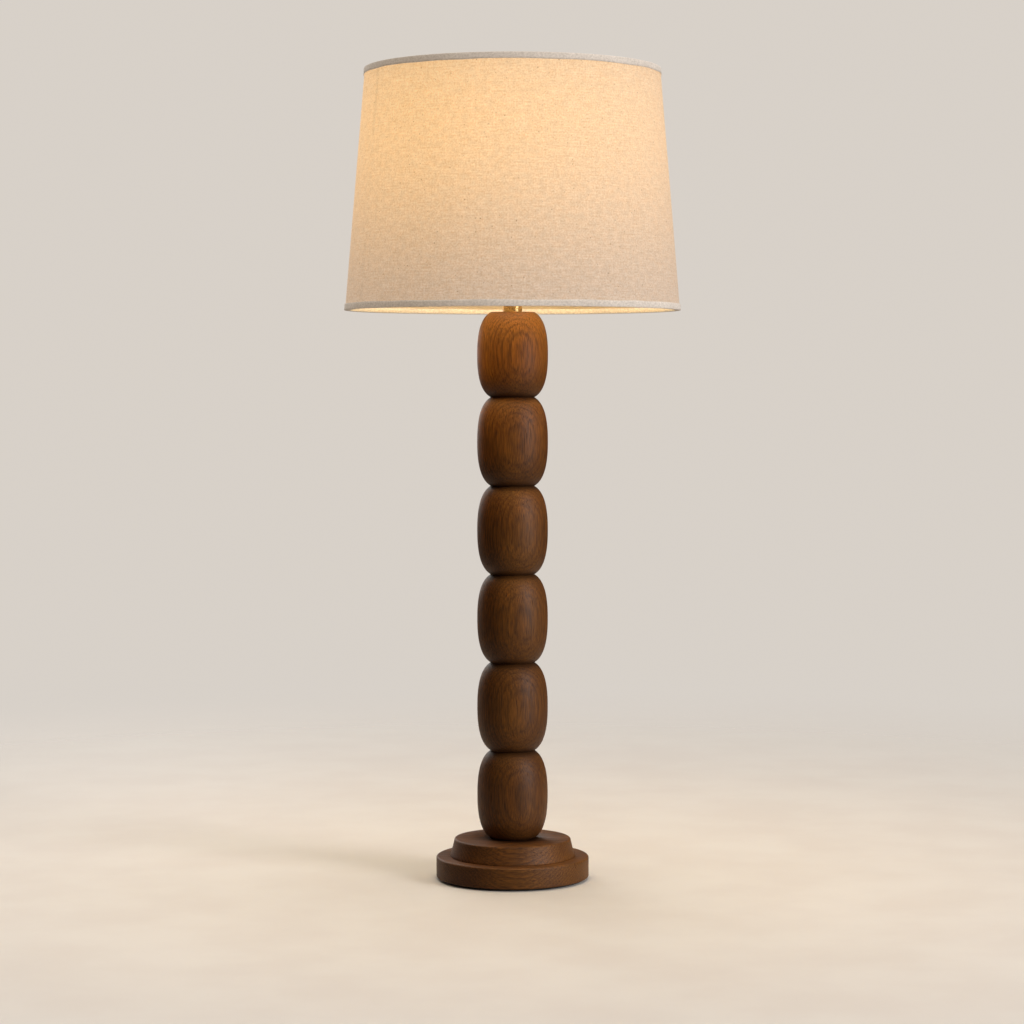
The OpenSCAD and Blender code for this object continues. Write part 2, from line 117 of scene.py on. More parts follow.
class Graph:
    """A material's node tree, with a short call for each kind of node that the materials here use."""

    def __init__(self, name):
        self.material = bpy.data.materials.new(name)
        self.material.use_nodes = True
        self.tree = self.material.node_tree
        self.tree.nodes.clear()
        self.output = self.tree.nodes.new("ShaderNodeOutputMaterial")

    def put(self, socket, value):
        """Links a socket into an input, or sets the input to a plain value."""
        if isinstance(value, bpy.types.NodeSocket):
            self.tree.links.new(value, socket)
        elif value is not None:
            socket.default_value = value

    def node(self, kind, inputs=None, **settings):
        """A new node, with its settings and its inputs, which are given by name or number."""
        made = self.tree.nodes.new("ShaderNode" + kind)
        for key, value in settings.items():
            setattr(made, key, value)
        for key, value in (inputs or {}).items():
            self.put(made.inputs[key], value)
        return made

    def place(self):
        """The point being shaded, in the object's own frame."""
        return self.node("TexCoord").outputs["Object"]

    def split(self, vector):
        parts = self.node("SeparateXYZ", {0: vector})
        return parts.outputs[0], parts.outputs[1], parts.outputs[2]

    def join(self, x, y, z):
        return self.node("CombineXYZ", {0: x, 1: y, 2: z}).outputs[0]

    def math(self, operation, a, b=None):
        return self.node("Math", {0: a, 1: b}, operation=operation).outputs[0]

    def scaled(self, vector, scale):
        return self.node("VectorMath", {0: vector, 1: scale}, operation="MULTIPLY").outputs[0]

    def added(self, a, b):
        return self.node("VectorMath", {0: a, 1: b}, operation="ADD").outputs[0]

    def noise(self, vector, scale=1.0, detail=2.0, roughness=0.5):
        inputs = {"Vector": vector, "Scale": scale, "Detail": detail, "Roughness": roughness}
        return self.node("TexNoise", inputs).outputs["Fac"]

    def band(self, value, low, high, out_low=0.0, out_high=1.0):
        """The value carried smoothly from one range to another, and held at the ends."""
        inputs = {0: value, 1: low, 2: high, 3: out_low, 4: out_high}
        return self.node("MapRange", inputs, interpolation_type="SMOOTHSTEP").outputs[0]

    def ramp(self, value, stops):
        """A colour ramp with stops of (position, colour)."""
        made = self.node("ValToRGB", {0: value})
        elements = made.color_ramp.elements
        while len(elements) < len(stops):
            elements.new(0.5)
        for element, (position, colour) in zip(elements, stops):
            element.position = position
            element.color = (*colour, 1)
        return made.outputs[0]

    def mix(self, share, a, b, blend="MIX"):
        """Two colours mixed or blended by a share."""
        made = self.node("Mix", {0: share, 6: a, 7: b}, data_type="RGBA", blend_type=blend)
        return made.outputs[2]

    def shade_by(self, colour, factor):
        """A colour made darker or lighter by a factor that varies over the surface."""
        return self.mix(1.0, colour, self.join(factor, factor, factor), "MULTIPLY")

    def bump(self, height, distance, strength=1.0, normal=None):
        """A normal tilted by a height, on top of another normal if one is given."""
        inputs = {"Height": height, "Distance": distance, "Strength": strength, "Normal": normal}
        return self.node("Bump", inputs).outputs[0]

    def principled(self, **inputs):
        """A principled shader. A socket's name is given with underscores for its spaces."""
        keys = {key.replace("_", " "): value for key, value in inputs.items()}
        return self.node("BsdfPrincipled", keys).outputs[0]

    def finish(self, shader):
        self.put(self.output.inputs["Surface"], shader)
        return self.material


def rgba(red, green, blue):
    """An opaque colour."""
    return (red, green, blue, 1.0)


# ---------------------------------------------------------------- materials


def walnut(name, upright):
    """Stained walnut: growth rings about an axis, long fibres, open pores and a satin lacquer.

    On the column the fibres run up, and each bead is cut from another part of the plank. Painted shade
    darkens each bead at its lower end and by the joints, and the column's top, which the shade's light falls
    on hardest, is painted darker to tone that light down.
    On the base the fibres lie along X.
    """
    g = Graph(name)
    place = g.place()
    _, y, z = g.split(place)
    if upright:
        number = g.math("FLOOR", g.math("DIVIDE", g.math("SUBTRACT", z, column_bottom), bead_pitch))
        chance = g.node("TexWhiteNoise", {"W": number}, noise_dimensions="1D").outputs["Color"]
        shifted = g.added(place, g.scaled(chance, (0.018, 0.03, 0.7)))
        across, deep, _ = g.split(shifted)
        fibre_scale = (1350.0, 1350.0, 70.0)
        pore_scale = (1000.0, 1000.0, 60.0)
        warp_scale = (11.0, 11.0, 5.0)
        tone_scale = (26.0, 26.0, 9.0)
        axis_across, axis_deep = -0.012, 0.085
    else:
        across, deep = y, z
        shifted = place
        fibre_scale = (70.0, 1350.0, 1350.0)
        pore_scale = (60.0, 1000.0, 1000.0)
        warp_scale = (6.0, 14.0, 14.0)
        tone_scale = (9.0, 26.0, 26.0)
        axis_across, axis_deep = 0.02, -0.045
    warp = g.noise(g.scaled(shifted, warp_scale), detail=2.0)
    from_axis = g.math(
        "SQRT",
        g.math(
            "ADD",
            g.math("POWER", g.math("SUBTRACT", across, axis_across), 2.0),
            g.math("POWER", g.math("SUBTRACT", deep, axis_deep), 2.0),
        ),
    )
    ring_pitch, ring_wander = 2.3 * MM, 0.016
    rings = g.math("DIVIDE", g.math("ADD", from_axis, g.math("MULTIPLY", warp, ring_wander)), ring_pitch)
    ring = g.math("FRACT", rings)
    ring_strength = g.band(g.noise(g.scaled(shifted, warp_scale), scale=3.0), 0.3, 0.7, 0.5, 1.0)
    fibre = g.noise(g.scaled(shifted, fibre_scale), detail=2.0, roughness=0.6)
    pore = g.band(g.noise(g.scaled(shifted, pore_scale), detail=1.0), 0.58, 0.72)
    tone = g.noise(g.scaled(shifted, tone_scale), detail=3.0)
    base = g.mix(g.band(tone, 0.3, 0.72), rgba(0.118, 0.038, 0.0052), rgba(0.190, 0.068, 0.0105))
    ring_levels = [(0.0, 1.1), (0.45, 1.04), (0.82, 0.66), (1.0, 1.04)]
    late_wood = g.ramp(ring, [(stop, (level,) * 3) for stop, level in ring_levels])
    ringed = g.mix(ring_strength, base, g.mix(1.0, base, late_wood, "MULTIPLY"))
    streaked = g.shade_by(ringed, g.band(fibre, 0.3, 0.7, 0.58, 1.38))
    if upright:
        # Painted shade: each bead darker towards its lower end and by the joints, and the column's top darker
        # to tone down the light on it.
        share = g.math("FRACT", g.math("DIVIDE", g.math("SUBTRACT", z, column_bottom), bead_pitch))
        from_joint = g.math("SUBTRACT", 0.5, g.math("ABSOLUTE", g.math("SUBTRACT", share, 0.5)))
        lower_end = g.band(share, 0.0, 0.34, 0.72, 1.0)
        joint = g.band(from_joint, 0.0, 0.07, 0.45, 1.0)
        crown = g.band(z, column_top - 13 * MM, column_top, 1.0, 0.66)
        painted_shade = g.math("MULTIPLY", g.math("MULTIPLY", lower_end, joint), crown)
        streaked = g.shade_by(streaked, painted_shade)
    colour = g.mix(g.math("MULTIPLY", pore, 0.5), streaked, rgba(0.020, 0.008, 0.003))
    grain = g.bump(fibre, 0.10 * MM, 0.3)
    pitted = g.bump(g.math("SUBTRACT", 1.0, pore), 0.12 * MM, 0.4, grain)
    roughness = g.math("ADD", g.band(fibre, 0.2, 0.8, 0.48, 0.6), g.math("MULTIPLY", pore, 0.2))
    return g.finish(
        g.principled(
            Base_Color=colour,
            Roughness=roughness,
            Specular_IOR_Level=0.3,
            Normal=pitted,
        )
    )


def around_shade(g):
    """Distance round the shade's axis, at a mean radius, and height."""
    x, y, z = g.split(g.place())
    return g.math("MULTIPLY", g.math("ARCTAN2", x, g.math("MULTIPLY", y, -1.0)), shade_mean_radius), z


def linen():
    """Natural linen: fine weave, thicker slubs both ways, flecks of husk, and light through it, partly a
    painted glow.
    """
    g = Graph("linen weave")
    around, up = around_shade(g)
    cloth = g.join(around, up, 0.0)
    thread = 0.9 * MM
    wobble = g.math("MULTIPLY", g.noise(g.scaled(cloth, (260.0, 260.0, 0.0)), detail=1.0), 1.6)
    warp = g.math("SINE", g.math("ADD", g.math("MULTIPLY", around, 2 * math.pi / thread), wobble))
    weft = g.math("SINE", g.math("ADD", g.math("MULTIPLY", up, 2 * math.pi / thread), wobble))
    weave = g.math("MULTIPLY", warp, weft)
    slub_round = g.noise(g.scaled(cloth, (60.0, 800.0, 0.0)), detail=2.0, roughness=0.6)
    slub_up = g.noise(g.scaled(cloth, (900.0, 90.0, 0.0)), detail=2.0, roughness=0.6)
    mottle = g.noise(g.scaled(cloth, (620.0, 620.0, 0.0)), detail=2.0, roughness=0.6)
    cloud = g.noise(g.scaled(cloth, (170.0, 170.0, 0.0)), detail=3.0)
    fleck_noise = g.noise(g.added(g.scaled(cloth, (480.0, 420.0, 0.0)), (7.0, 3.0, 0.0)), detail=0.5)
    fleck = g.band(fleck_noise, 0.73, 0.81)
    slubs = g.math("ADD", g.math("MULTIPLY", slub_round, 0.75), g.math("MULTIPLY", slub_up, 0.45))
    thickness = g.math("ADD", slubs, g.math("MULTIPLY", mottle, 1.6))
    density = g.band(thickness, 0.85, 1.95)
    body = g.mix(density, rgba(0.46, 0.43, 0.41), rgba(0.375, 0.32, 0.28))
    clouded = g.shade_by(body, g.band(cloud, 0.3, 0.7, 0.98, 1.02))
    colour = g.mix(g.math("MULTIPLY", fleck, 0.55), clouded, rgba(0.20, 0.13, 0.08))
    # The seam's lap darkens the light through the linen and its painted glow, most near the top.
    from_seam = g.math("ABSOLUTE", g.math("SUBTRACT", around, seam_around))
    lap_level = g.band(up, shade_top - 0.09, shade_top - 0.01, 0.975, 0.90)
    lap = g.band(from_seam, 1.5 * MM, 3.5 * MM, lap_level, 1.0)
    through = g.mix(density, rgba(0.196, 0.156, 0.108), rgba(0.160, 0.105, 0.053))
    through = g.mix(g.math("MULTIPLY", fleck, 0.6), through, rgba(0.070, 0.034, 0.012))
    through = g.shade_by(through, g.math("MULTIPLY", lap, g.band(cloud, 0.3, 0.7, 0.95, 1.05)))
    # Painted glow: emission stands in for the bulb's light through the linen, with a painted hot spot above
    # the bulb and left of the front that fades with distance.
    toward = g.node("VectorMath", {0: g.place(), 1: hot_direction}, operation="DOT_PRODUCT").outputs["Value"]
    from_bulb = g.band(g.math("ABSOLUTE", g.math("SUBTRACT", up, hot_height)), 0.0, 0.2, 1.0, 0.0)
    nearness = g.math("MULTIPLY", from_bulb, g.math("ADD", 0.68, g.math("MULTIPLY", toward, 0.32)))
    painted_glow_tint = g.mix(nearness, rgba(0.81, 0.84, 1.0), rgba(1.33, 1.19, 0.97))
    relief = g.math("ADD", g.math("MULTIPLY", weave, 0.25), thickness)
    normal = g.bump(relief, 0.16 * MM, 0.5)
    front = g.principled(
        Base_Color=colour,
        Roughness=0.9,
        Specular_IOR_Level=0.15,
        Sheen_Weight=0.12,
        Sheen_Roughness=0.5,
        Emission_Color=g.mix(1.0, through, painted_glow_tint, "MULTIPLY"),
        Emission_Strength=SHADE_GLOW,
        Normal=normal,
    )
    back = g.node("BsdfTranslucent", {"Color": through, "Normal": normal}).outputs[0]
    g.material.cycles.emission_sampling = "NONE"
    return g.finish(g.node("MixShader", {0: 0.5, 1: front, 2: back}).outputs[0])


def tape():
    """Grey-taupe cotton tape: fine ribs, a little fuzz, and a faint painted glow for the light behind it."""
    g = Graph("binding tape")
    around, up = around_shade(g)
    cloth = g.join(around, up, 0.0)
    rib = g.math("SINE", g.math("MULTIPLY", around, 2 * math.pi / (1.1 * MM)))
    mottle = g.noise(g.scaled(cloth, (380.0, 520.0, 0.0)), detail=3.0, roughness=0.65)
    cloud = g.noise(g.scaled(cloth, (40.0, 40.0, 0.0)), detail=2.0)
    base = g.mix(g.band(mottle, 0.3, 0.7), rgba(0.46, 0.42, 0.38), rgba(0.60, 0.55, 0.50))
    colour = g.shade_by(base, g.band(cloud, 0.3, 0.7, 0.92, 1.06))
    relief = g.math("ADD", g.math("MULTIPLY", rib, 0.2), mottle)
    normal = g.bump(relief, 0.14 * MM, 0.6)
    # Painted glow: emission stands in for the bulb's light through the tape.
    glow = g.mix(g.band(mottle, 0.3, 0.7), rgba(0.80, 0.62, 0.46), rgba(1.0, 0.80, 0.62))
    g.material.cycles.emission_sampling = "NONE"
    return g.finish(
        g.principled(
            Base_Color=colour,
            Roughness=0.92,
            Specular_IOR_Level=0.12,
            Sheen_Weight=0.25,
            Sheen_Roughness=0.5,
            Emission_Color=glow,
            Emission_Strength=TAPE_GLOW,
            Normal=normal,
        )
    )


def liner():
    """Styrene lining with a faint moulded mottle. It scatters the bulb's light and casts no shadow."""
    g = Graph("styrene liner")
    place = g.place()
    mottle = g.noise(place, scale=140.0, detail=3.0)
    colour = g.mix(g.band(mottle, 0.3, 0.7), rgba(0.66, 0.60, 0.50), rgba(0.72, 0.66, 0.56))
    normal = g.bump(mottle, 0.1 * MM, 0.4)
    front = g.principled(Base_Color=colour, Roughness=0.42, Normal=normal)
    back = g.node("BsdfTranslucent", {"Color": colour}).outputs[0]
    scattering = g.node("MixShader", {0: 0.4, 1: front, 2: back}).outputs[0]
    shadow_ray = g.node("LightPath").outputs["Is Shadow Ray"]
    clear = g.node("BsdfTransparent").outputs[0]
    return g.finish(g.node("MixShader", {0: shadow_ray, 1: scattering, 2: clear}).outputs[0])


def metal(name, light, dark, roughness):
    """A bare metal with fine scratches, cloudy tarnish and a roughness that follows both."""
    g = Graph(name)
    place = g.place()
    scratch = g.noise(g.scaled(place, (60.0, 60.0, 900.0)), detail=3.0, roughness=0.7)
    tarnish = g.noise(place, scale=160.0, detail=3.0)
    colour = g.mix(g.band(tarnish, 0.35, 0.7), rgba(*light), rgba(*dark))
    scratched = g.band(scratch, 0.3, 0.7, roughness - 0.06, roughness + 0.08)
    rough = g.math("ADD", scratched, g.band(tarnish, 0.5, 0.8, 0.0, 0.1))
    normal = g.bump(scratch, 0.03 * MM, 0.3)
    return g.finish(g.principled(Base_Color=colour, Metallic=1.0, Roughness=rough, Normal=normal))


def moulded(name, light, dark, roughness, grain=900.0, depth=0.05 * MM):
    """A moulded or pressed material: fine grain in colour, relief and gloss."""
    g = Graph(name)
    place = g.place()
    speckle = g.noise(place, scale=grain, detail=3.0, roughness=0.6)
    cloud = g.noise(place, scale=grain / 9, detail=2.0)
    colour = g.mix(g.band(g.math("ADD", speckle, cloud), 0.7, 1.3), rgba(*light), rgba(*dark))
    rough = g.band(speckle, 0.3, 0.7, roughness - 0.08, roughness + 0.08)
    return g.finish(g.principled(Base_Color=colour, Roughness=rough, Normal=g.bump(speckle, depth, 0.5)))


def felt():
    """Black pressed felt with matted fibres."""
    g = Graph("felt")
    place = g.place()
    matted = g.noise(place, scale=700.0, detail=5.0, roughness=0.7)
    strand = g.noise(g.scaled(place, (1800.0, 260.0, 260.0)), detail=2.0)
    both = g.math("ADD", matted, strand)
    colour = g.mix(g.band(both, 0.7, 1.3), rgba(0.012, 0.012, 0.011), rgba(0.045, 0.043, 0.038))
    return g.finish(
        g.principled(
            Base_Color=colour,
            Roughness=0.95,
            Specular_IOR_Level=0.1,
            Sheen_Weight=0.35,
            Sheen_Roughness=0.6,
            Normal=g.bump(both, 0.25 * MM, 0.8),
        )
    )


def lit_glass():
    """The bulb's frosted globe, lit from inside: nearly white at the crown, a little duller by the neck."""
    g = Graph("lit frosted glass")
    place = g.place()
    z = g.split(place)[2]
    frost = g.noise(place, scale=1400.0, detail=2.0)
    level = g.band(z, globe_low.z, globe_centre.z, 0.3, 1.0)
    glow = g.math("MULTIPLY", level, g.band(frost, 0.2, 0.8, 0.97, 1.03))
    strength = g.math("MULTIPLY", glow, BULB_GLOW)
    g.material.cycles.emission_sampling = "NONE"
    return g.finish(
        g.principled(
            Base_Color=rgba(0.92, 0.9, 0.86),
            Roughness=0.45,
            Emission_Color=rgba(1.0, 0.84, 0.60),
            Emission_Strength=strength,
            Normal=g.bump(frost, 0.02 * MM, 0.3),
        )
    )


# ---------------------------------------------------------------- mesh making


def object_from(name, bm, material):
    """An object in the scene from a finished bmesh, with smooth shading and one material."""
    mesh = bpy.data.meshes.new(name)
    bm.normal_update()
    bm.to_mesh(mesh)
    bm.free()
    for face in mesh.polygons:
        face.use_smooth = True
    made = bpy.data.objects.new(name, mesh)
    bpy.context.scene.collection.objects.link(made)
    mesh.materials.append(material)
    return made


def turned(name, outline, material, segments=160, nudge=None):
    """A ring turned about the Z axis from a closed outline of (radius, z) points, anticlockwise.

    nudge(angle, radius, z) may return a changed (radius, z), for what isn't quite round.
    """
    bm = bmesh.new()
    rings = []
    for step in range(segments):
        angle = 2 * math.pi * step / segments
        ring = []
        for r, z in outline:
            if nudge:
                r, z = nudge(angle, r, z)
            ring.append(bm.verts.new((r * math.sin(angle), -r * math.cos(angle), z)))
        rings.append(ring)
    count = len(outline)
    for step in range(segments):
        here, there = rings[step], rings[(step + 1) % segments]
        for i in range(count):
            j = (i + 1) % count
            bm.faces.new((here[i], there[i], there[j], here[j]))
    bmesh.ops.recalc_face_normals(bm, faces=bm.faces)
    return object_from(name, bm, material)


def arc(centre_r, centre_z, radius, start, end, steps=8):
    """Points along a circular arc in the outline's plane, with angles in degrees."""
    points = []
    for i in range(steps + 1):
        angle = math.radians(start + (end - start) * i / steps)
        points.append((centre_r + radius * math.cos(angle), centre_z + radius * math.sin(angle)))
    return points


def place_piece(piece, body, slot, *replaced):
    """Tells the frame which body a piece rides on, and hides the CAD nodes that it stands for. slot is not
    used.
    """
    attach(piece, body)
    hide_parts(*replaced)
    return piece


# ---------------------------------------------------------------- wood


def bead_outline(low, high):
    """A bead's superellipse between its two end flats, with the pipe's hole down the middle."""
    side_power, shoulder_power = 4.0, 2.4
    reach = (1 - (bead_end_radius / bead_radius) ** side_power) ** (-1 / shoulder_power)
    middle, half = (low + high) / 2, (high - low) / 2
    steps = 72
    points = [(pipe_hole_radius, low)]
    for i in range(steps + 1):
        u = -math.cos(math.pi * i / steps)
        r = bead_radius * (1 - (abs(u) / reach) ** shoulder_power) ** (1 / side_power)
        points.append((r, middle + half * u))
    points.append((pipe_hole_radius, high))
    return points


def make_beads(material):
    """The six turned beads of the column."""
    for name in BEADS:
        low, high = height_of(name)
        bead = turned(name + "_turned", bead_outline(low, high), material)
        place_piece(bead, "stand", "walnut", name)


def make_base(material):
    """The plinth, hollow underneath for its weight, and the tapered step on it."""
    low, high = height_of("base_plinth")
    outer = radius_of("base_plinth")
    recess_top = low + recess_depth
    lower_edge, upper_edge = 1.4 * MM, 1.9 * MM
    outline = [
        (recess_radius, low),
        *arc(outer - lower_edge, low + lower_edge, lower_edge, -90, 0),
        *arc(outer - upper_edge, high - upper_edge, upper_edge, 0, 90),
        (pipe_hole_radius, high),
        (pipe_hole_radius, recess_top),
        (recess_radius, recess_top),
    ]
    plinth = turned("plinth_turned", outline, material, segments=224)
    cut_cord_hole(plinth)
    place_piece(plinth, "stand", "walnut", "base_plinth")

    low, high = height_of("base_step")
    foot, top = radius_of("base_step"), step_top_radius
    edge, fillet, flare = 1.8 * MM, 0.7 * MM, 0.8
    slant_height = high - low - fillet - edge
    side = [
        (foot + (top - foot) * share ** flare, low + fillet + slant_height * share)
        for share in (0.2, 0.4, 0.6, 0.8)
    ]
    outline = [
        (pipe_hole_radius, low),
        (foot, low),
        (foot, low + fillet),
        *side,
        *arc(top - edge, high - edge, edge, 4, 90),
        (pipe_hole_radius, high),
    ]
    step = turned("step_turned", outline, material, segments=224)
    place_piece(step, "stand", "walnut", "base_step")


def cut_cord_hole(plinth):
    """The hole at the back that the rubber bush sits in, and the wider seat of its flange."""
    low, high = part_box("cord_grommet")
    middle_z = (low.z + high.z) / 2
    bush_length, bush_margin = 15.4 * MM, 1 * MM
    hole = (4.05 * MM, 0.045, low.y + bush_length + bush_margin)
    seat = (6.3 * MM, 0.0714, 0.08)
    turn = Vector((0, 0, 1)).rotation_difference(Vector((0, 1, 0))).to_matrix()
    bm = bmesh.new()
    for radius, start, end in (hole, seat):
        made = bmesh.ops.create_cone(
            bm, cap_ends=True, segments=48, radius1=radius, radius2=radius, depth=end - start
        )
        for vert in made["verts"]:
            vert.co = turn @ vert.co + Vector((0, (start + end) / 2, middle_z))
    cutter = object_from("cord_hole_cutter", bm, plinth.data.materials[0])
    cut = plinth.modifiers.new("cord hole", "BOOLEAN")
    cut.object = cutter
    cut.solver = "EXACT"
    cut.use_self = True
    apply_modifiers(plinth)
    bpy.data.objects.remove(cutter)


def apply_modifiers(piece):
    """Replaces a piece's mesh with what its modifiers make of it."""
    graph = bpy.context.evaluated_depsgraph_get()
    mesh = bpy.data.meshes.new_from_object(piece.evaluated_get(graph))
    piece.modifiers.clear()
    piece.data = mesh


# ---------------------------------------------------------------- shade


def wander(angle, z, size, seed):
    """A smooth, seeded unevenness for a place on the shade, between -size and size."""
    return size * noise.noise(Vector((3 * math.sin(angle), 3 * math.cos(angle) + seed, 18 * z)))


def make_linen(material):
    """The linen, one surface glued round the liner. Its lap is a low step that runs down at the seam."""
    bm = bmesh.new()
    columns, rows = 540, 72
    low, high = shade_bottom + 0.6 * MM, shade_top - 0.6 * MM
    lap, lap_share = 0.12 * MM, 0.02
    grid = []
    for i in range(columns):
        share = i / columns
        angle = seam_angle + 2 * math.pi * share
        lift = lap * smooth((share - 1 + 2 * lap_share) / lap_share)
        column = []
        for j in range(rows + 1):
            z = low + (high - low) * j / rows
            r = shade_radius(z) - tape_thickness - 0.4 * MM + lift + wander(angle, z, 0.1 * MM, 2.0)
            column.append(bm.verts.new((r * math.sin(angle), -r * math.cos(angle), z)))
        grid.append(column)
    for i in range(columns):
        here, there = grid[i], grid[(i + 1) % columns]
        for j in range(rows):
            bm.faces.new((here[j], there[j], there[j + 1], here[j + 1]))
    piece = object_from("linen_cover", bm, material)
    return place_piece(piece, "shade", "linen", "shade_linen")


def make_liner(material):
    """The styrene sheet that the linen is glued to."""
    low, high = height_of("shade_liner")
    inner = liner_inset + liner_thickness
    steps = 24
    upward = [low + (high - low) * i / steps for i in range(steps + 1)]
    downward = [high - (high - low) * i / steps for i in range(steps + 1)]
    outline = [(shade_radius(z) - liner_inset, z) for z in upward]
    outline += [(shade_radius(z) - inner, z) for z in downward]
    piece = turned("liner_sheet", outline, material, segments=360)
    mark_creases(piece)
    return place_piece(piece, "shade", "liner", "shade_liner")


def mark_creases(piece, limit=40):
    """Keeps smooth shading from rounding over edges sharper than a limit in degrees."""
    bm = bmesh.new()
    bm.from_mesh(piece.data)
    for edge in bm.edges:
        edge.smooth = len(edge.link_faces) == 2 and edge.calc_face_angle() < math.radians(limit)
    bm.to_mesh(piece.data)
    bm.free()


def smooth(share):
    """A share eased in and out, and held between 0 and 1."""
    share = min(max(share, 0.0), 1.0)
    return share * share * (3 - 2 * share)


def make_tape(name, rim, side, node, material):
    """Tape folded over a rim, with soft folds and slightly wandering edges. side is 1 at the top rim."""
    inner = 5.4 * MM
    leg = 5.0 * MM
    fold = 0.45 * MM
    outer_leg = [(0.0, tape_height), (0.0, tape_height * 0.7), (0.0, tape_height * 0.4), (0.0, fold)]
    across = [(fold * 0.3, fold * 0.3), (fold, 0.0), (inner * 0.5, 0.0), (inner, 0.05 * MM)]
    inner_leg = [(inner + tape_thickness, fold), (inner + tape_thickness, leg)]
    back = [(inner, leg), (inner, tape_thickness + fold), (inner * 0.5, tape_thickness)]
    front = [(tape_thickness, tape_thickness + fold), (tape_thickness, tape_height)]
    outline = []
    for inset, depth in outer_leg + across + inner_leg + back + front:
        z = rim - side * depth
        outline.append((shade_radius(z) - inset, z))
    if side > 0:
        outline.reverse()

    def nudge(angle, r, z):
        """Pulls the tape in a little, and lets its free edge wander up and down."""
        edge = smooth(abs(z - rim) / tape_height)
        return (
            r - abs(wander(angle, z, 0.25 * MM, 5.0)) * (0.4 + edge),
            z - side * wander(angle * 2.0, rim, 0.5 * MM, 9.0) * edge,
        )

    piece = turned(name, outline, material, segments=360, nudge=nudge)
    return place_piece(piece, "shade", "binding_tape", node)


# ---------------------------------------------------------------- fittings


def make_felt(material):
    """A disc of felt with a softly uneven edge: rings of vertices on both faces, and a band round the rim."""
    low, high = height_of("felt_pad")
    outer = radius_of("felt_pad")
    segments, rings = 128, 14
    worn, rounding = 0.004, 0.35 * MM
    bm = bmesh.new()
    layers = []
    for z, inward in ((low, 1), (high, -1)):
        centre = bm.verts.new((0, 0, z))
        layer = [centre]
        for k in range(1, rings + 1):
            ring = []
            for step in range(segments):
                angle = 2 * math.pi * step / segments
                rim = 1.0 if k < rings else 1 - worn * (1 + noise.noise(Vector((40 * angle, 0, 0))))
                r = outer * rim * k / rings
                lift = inward * rounding if k == rings else 0.0
                ring.append(bm.verts.new((r * math.cos(angle), r * math.sin(angle), z + lift)))
            layer.append(ring)
        layers.append(layer)
        for step in range(segments):
            following = (step + 1) % segments
            bm.faces.new((centre, layer[1][step], layer[1][following]))
            for k in range(1, rings):
                here, there = layer[k], layer[k + 1]
                bm.faces.new((here[step], there[step], there[following], here[following]))
    lower, upper = layers[0][rings], layers[1][rings]
    for step in range(segments):
        following = (step + 1) % segments
        bm.faces.new((lower[step], lower[following], upper[following], upper[step]))
    bmesh.ops.recalc_face_normals(bm, faces=bm.faces)
    piece = object_from("felt_disc", bm, material)
    return place_piece(piece, "stand", "felt", "felt_pad")


def paint(material, *names):
    """Gives carried-over CAD nodes a material."""
    for name in names:
        mesh = nodes[name].data
        mesh.materials.clear()
        mesh.materials.append(material)


# ---------------------------------------------------------------- stage, lights and camera


def make_floor():
    """A pale floor that fades into the background, so that no horizon crosses the lamp.

    It is clear from below, to show the lamp's underside, and it bounces no light up at the beads.
    """
    g = Graph("pale floor")
    place = g.place()
    x, y, _ = g.split(place)
    cloud = g.noise(place, scale=9.0, detail=4.0)
    colour = g.mix(g.band(cloud, 0.3, 0.7), rgba(0.86, 0.78, 0.71), rgba(0.90, 0.83, 0.76))
    ground = g.principled(Base_Color=colour, Roughness=0.6, Specular_IOR_Level=0.2)
    away = g.math("SQRT", g.math("ADD", g.math("MULTIPLY", x, x), g.math("MULTIPLY", y, y)))
    fade = g.band(away, 0.3, 1.6)
    from_below = g.node("NewGeometry").outputs["Backfacing"]
    clearness = g.math("MAXIMUM", fade, from_below)
    clear = g.node("BsdfTransparent").outputs[0]
    material = g.finish(g.node("MixShader", {0: clearness, 1: ground, 2: clear}).outputs[0])
    bm = bmesh.new()
    bmesh.ops.create_circle(bm, cap_ends=True, segments=96, radius=1.7)
    floor = object_from("floor", bm, material)
    floor.visible_diffuse = False


def make_world():
    """A pale warm backdrop to look at, and a dimmer light from it, so that the lamps can shape the wood."""
    world = bpy.data.worlds.new("soft studio")
    world.use_nodes = True
    tree = world.node_tree
    backdrop = tree.nodes["Background"]
    backdrop.inputs["Color"].default_value = rgba(0.685, 0.635, 0.58)
    fill = tree.nodes.new("ShaderNodeBackground")
    fill.inputs["Color"].default_value = rgba(0.155, 0.138, 0.112)
    direction = tree.nodes.new("ShaderNodeTexCoord")
    parts = tree.nodes.new("ShaderNodeSeparateXYZ")
    upward = tree.nodes.new("ShaderNodeMapRange")
    upward.inputs["From Min"].default_value = -0.3
    upward.inputs["From Max"].default_value = 0.6
    tree.links.new(direction.outputs["Generated"], parts.inputs[0])
    tree.links.new(parts.outputs["Z"], upward.inputs["Value"])
    tree.links.new(upward.outputs[0], fill.inputs["Strength"])
    seen = tree.nodes.new("ShaderNodeLightPath")
    mix = tree.nodes.new("ShaderNodeMixShader")
    tree.links.new(seen.outputs["Is Camera Ray"], mix.inputs[0])
    tree.links.new(fill.outputs[0], mix.inputs[1])
    tree.links.new(backdrop.outputs[0], mix.inputs[2])
    tree.links.new(mix.outputs[0], tree.nodes["World Output"].inputs["Surface"])
    bpy.context.scene.world = world


def add_lamp(name, light, place):
    """A light put in the scene."""
    lamp = bpy.data.objects.new(name, light)
    lamp.location = place
    bpy.context.scene.collection.objects.link(lamp)
    return lamp


def make_light(name, place, target, size, power, colour):
    """A soft box of light that faces a target."""
    light = bpy.data.lights.new(name, "AREA")
    light.shape = "RECTANGLE"
    light.size, light.size_y = size
    light.energy = power
    light.color = colour
    lamp = add_lamp(name, light, place)
    lamp.rotation_mode = "QUATERNION"
    lamp.rotation_quaternion = (Vector(target) - Vector(place)).to_track_quat("-Z", "Y")


